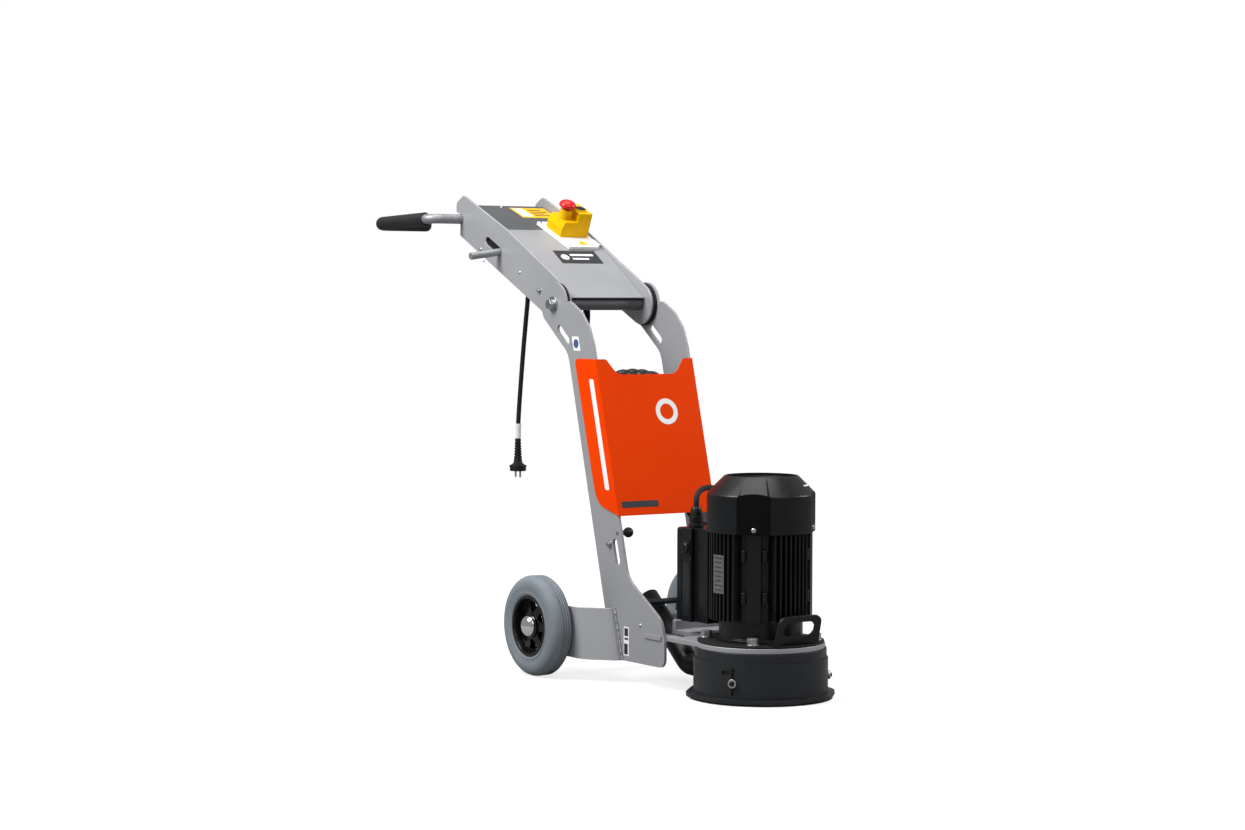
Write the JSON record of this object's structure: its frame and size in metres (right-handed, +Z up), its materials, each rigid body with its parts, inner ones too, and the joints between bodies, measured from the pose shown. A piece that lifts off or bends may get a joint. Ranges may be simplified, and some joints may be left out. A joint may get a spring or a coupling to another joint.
{
  "type": "floor grinder",
  "caption": "Walk-behind single-disc electric concrete floor grinder with dust shroud, leaning frame, two rear wheels and tilting console",
  "frame": {"origin": "on the floor, midway along the machine's length and width, measured without the mains cord", "axes": "+Z up, +Y towards the handlebar, -Y towards the grinding head's front, -X to the operator's right"},
  "size_m": [0.494, 1.4034, 1.0266],
  "materials": {
    "frame_grey": "satin silver-grey powder coat",
    "deck_grey": "satin grey powder coat, darker upper panel",
    "cover_orange": "satin orange powder coat",
    "motor_black": "satin black paint on cast and sheet metal",
    "black_plastic": "matte moulded plastic",
    "rubber": "matte black rubber",
    "tyre_grey": "matte blue-grey solid tyre",
    "zinc": "bright zinc plating",
    "steel": "plain machined steel",
    "copper": "windings in copper enamel",
    "switch_yellow": "semi-gloss yellow moulding",
    "switch_white": "semi-gloss off-white moulding",
    "stop_red": "semi-gloss red moulding"
  },
  "bodies": {
    "frame": {"side_plate_right": "frame_grey", "side_plate_left": "frame_grey", "base_plate": "frame_grey", "isolation_pad": "rubber", "tie_rod": "steel", "front_cover": "cover_orange", "lifting_grip": "black_plastic", "carry_handle": "motor_black", "axle_bracket_right": "frame_grey", "axle_bracket_left": "frame_grey", "axle": "steel", "shroud_ring": "motor_black", "suction_pipe": "black_plastic", "skirt_clamp_1": "zinc", "skirt_clamp_2": "zinc", "bearing_lower": "steel", "bearing_upper": "steel", "motor_bolt_1": "zinc", "motor_bolt_2": "zinc", "motor_bolt_3": "zinc", "motor_bolt_4": "zinc", "drive_end_bell": "motor_black", "motor_frame": "motor_black", "stator": "copper", "fan_cover": "motor_black", "terminal_box": "motor_black", "terminal_lid": "motor_black", "terminal_gland": "black_plastic", "friction_disc_right": "rubber", "friction_disc_left": "rubber", "pivot_bolt_right": "zinc", "pivot_bolt_left": "zinc", "motor_cable": "rubber"},
    "console": {"console_plate_right": "frame_grey", "console_plate_left": "frame_grey", "console_deck": "deck_grey", "pivot_tube": "frame_grey", "handlebar": "steel", "grip_right": "rubber", "grip_left": "rubber", "switch_plate": "switch_white", "switch_housing": "switch_yellow", "cable_box": "black_plastic", "mains_cord": "rubber", "plug": "black_plastic"},
    "rotor": {"rotor": "steel", "disc_hub": "steel", "grinding_disc": "steel", "fan": "black_plastic"},
    "skirt": {"skirt": "black_plastic", "skirt_brush": "rubber"},
    "wheel_right": {"rim_right": "motor_black", "tyre_right": "tyre_grey"},
    "wheel_left": {"rim_left": "motor_black", "tyre_left": "tyre_grey"},
    "knob": {"index_knob": "black_plastic"},
    "release": {"release_rod": "zinc"},
    "stop": {"stop_button": "stop_red"},
    "start": {"start_button": "black_plastic"}
  },
  "joints": [
    {"name": "console_tilt", "type": "hinge", "parent": "frame", "child": "console", "pos_m": [0, 0.02375, 0.783], "axis": [1, 0, 0], "range_deg": [-20, 35], "deforming": ["motor_cable"]},
    {"name": "spindle_turn", "type": "hinge", "parent": "frame", "child": "rotor", "pos_m": [0, -0.55625, 0], "axis": [0, 0, 1], "continuous": true},
    {"name": "skirt_lift", "type": "slide", "parent": "frame", "child": "skirt", "axis": [0, 0, 1], "range_m": [0, 0.015]},
    {"name": "wheel_right_turn", "type": "hinge", "parent": "frame", "child": "wheel_right", "pos_m": [-0.187, -0.05435, 0.1062], "axis": [1, 0, 0], "continuous": true},
    {"name": "wheel_left_turn", "type": "hinge", "parent": "frame", "child": "wheel_left", "pos_m": [0.187, -0.05435, 0.1062], "axis": [1, 0, 0], "continuous": true},
    {"name": "knob_pull", "type": "slide", "parent": "frame", "child": "knob", "axis": [1, 0, 0], "range_m": [0, 0.006], "stiffness_N_per_m": 600, "springref_m": -0.004},
    {"name": "release_slide", "type": "slide", "parent": "console", "child": "release", "axis": [0, 0.8988, 0.4384], "range_m": [0, 0.055], "stiffness_N_per_m": 200, "springref_m": -0.03},
    {"name": "stop_press", "type": "slide", "parent": "console", "child": "stop", "axis": [0, 0.3944, -0.9189], "range_m": [0, 0.005], "stiffness_N_per_m": 600, "springref_m": -0.004},
    {"name": "start_press", "type": "slide", "parent": "console", "child": "start", "axis": [0, 0.3944, -0.9189], "range_m": [0, 0.003], "stiffness_N_per_m": 600, "springref_m": -0.003}
  ]
}
